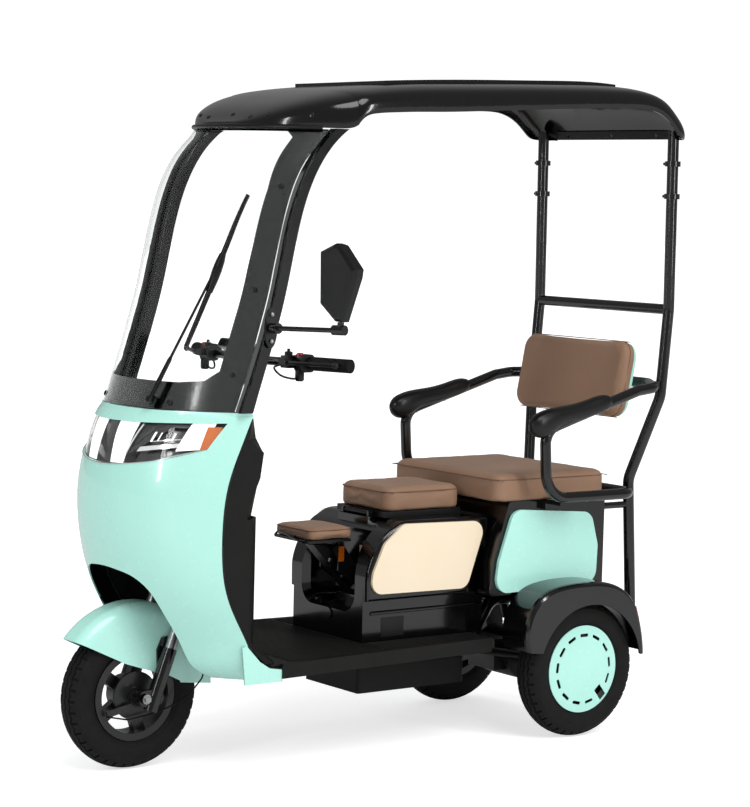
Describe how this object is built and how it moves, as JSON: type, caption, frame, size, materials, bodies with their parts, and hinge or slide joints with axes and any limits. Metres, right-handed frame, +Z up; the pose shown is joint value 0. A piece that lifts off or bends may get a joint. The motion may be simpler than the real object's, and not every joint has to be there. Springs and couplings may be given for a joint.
{
  "type": "electric passenger tricycle",
  "caption": "Electric passenger tricycle with a steered front wheel, canopy roof, windshield, lifting driver's seat, folding child seat and rear bench.",
  "frame": {"origin": "on the ground under the front wheel, at the front tyre's lowest point, on the centre plane", "axes": "+X to the vehicle's left, +Y to its rear, +Z up"},
  "size_m": [0.9293, 1.7209, 1.7318],
  "materials": {
    "tyre": "matte",
    "wheel_black": "satin",
    "mint_gloss": "gloss",
    "cream_gloss": "gloss",
    "frame_black": "gloss",
    "gloss_black": "gloss",
    "matte_black": "matte",
    "clear_screen": "clear",
    "lamp_lens": "clear",
    "red_lens": "gloss",
    "leatherette": "satin",
    "grip_rubber": "matte",
    "mirror_silver": "polished",
    "axle_metal": "satin",
    "amber_lens": "gloss"
  },
  "bodies": {
    "frame": {"chassis": "frame_black", "rear_axle": "axle_metal", "shock_absorbers": "axle_metal", "footboard": "matte_black", "battery_box": "matte_black", "front_apron": "mint_gloss", "dash_cowl": "mint_gloss", "front_lamp": "lamp_lens", "legshield": "matte_black", "windshield": "clear_screen", "pillars": "gloss_black", "front_visor": "gloss_black", "roof": "gloss_black", "roof_panel": "gloss_black", "rear_valance": "matte_black", "rear_hoop": "frame_black", "pole_collars": "frame_black", "front_seat_box": "gloss_black", "rear_seat_box": "gloss_black", "front_side_panels": "cream_gloss", "rear_side_panels": "mint_gloss", "seat_hinge": "frame_black", "bench_cushion": "leatherette", "backrest_cushion": "leatherette", "backrest_shell": "mint_gloss", "arm_frame": "frame_black", "arm_pads": "matte_black", "child_seat_bracket": "frame_black", "rear_fenders": "gloss_black", "tail_lamps": "red_lens", "mirror_arm": "frame_black", "mirror_head": "gloss_black", "mirror_glass": "mirror_silver", "wiper": "matte_black", "amber_lenses": "amber_lens", "lamp_tray": "matte_black", "windshield_border": "gloss_black"},
    "steering": {"fork": "frame_black", "brake_plate": "wheel_black", "front_fender": "mint_gloss", "handlebar": "frame_black", "grips": "grip_rubber", "bar_controls": "matte_black", "brake_cable": "matte_black"},
    "front_wheel": {"front_tyre": "tyre", "front_rim": "wheel_black"},
    "rear_wheel_left": {"rear_tyre_left": "tyre", "rear_rim_left": "wheel_black", "hubcap_left": "mint_gloss"},
    "rear_wheel_right": {"rear_tyre_right": "tyre", "rear_rim_right": "wheel_black", "hubcap_right": "mint_gloss"},
    "driver_seat": {"driver_seat_base": "matte_black", "driver_cushion": "leatherette"},
    "child_seat": {"child_seat_base": "matte_black", "child_cushion": "leatherette"}
  },
  "joints": [
    {"name": "steering_turn", "type": "hinge", "parent": "frame", "child": "steering", "pos_m": [0, 0.03, 0.183], "axis": [0, 0.342, 0.9397], "range_deg": [-25, 25]},
    {"name": "front_wheel_spin", "type": "hinge", "parent": "steering", "child": "front_wheel", "pos_m": [0, 0, 0.183], "axis": [1, 0, 0], "continuous": true},
    {"name": "rear_wheel_left_spin", "type": "hinge", "parent": "frame", "child": "rear_wheel_left", "pos_m": [0.267, 1.215, 0.183], "axis": [1, 0, 0], "continuous": true},
    {"name": "rear_wheel_right_spin", "type": "hinge", "parent": "frame", "child": "rear_wheel_right", "pos_m": [-0.267, 1.215, 0.183], "axis": [1, 0, 0], "continuous": true},
    {"name": "driver_seat_lift", "type": "hinge", "parent": "frame", "child": "driver_seat", "pos_m": [0, 0.683, 0.598], "axis": [1, 0, 0], "range_deg": [0, 60]},
    {"name": "child_seat_fold", "type": "hinge", "parent": "frame", "child": "child_seat", "pos_m": [0, 0.604, 0.522], "axis": [-1, 0, 0], "range_deg": [0, 58]}
  ]
}
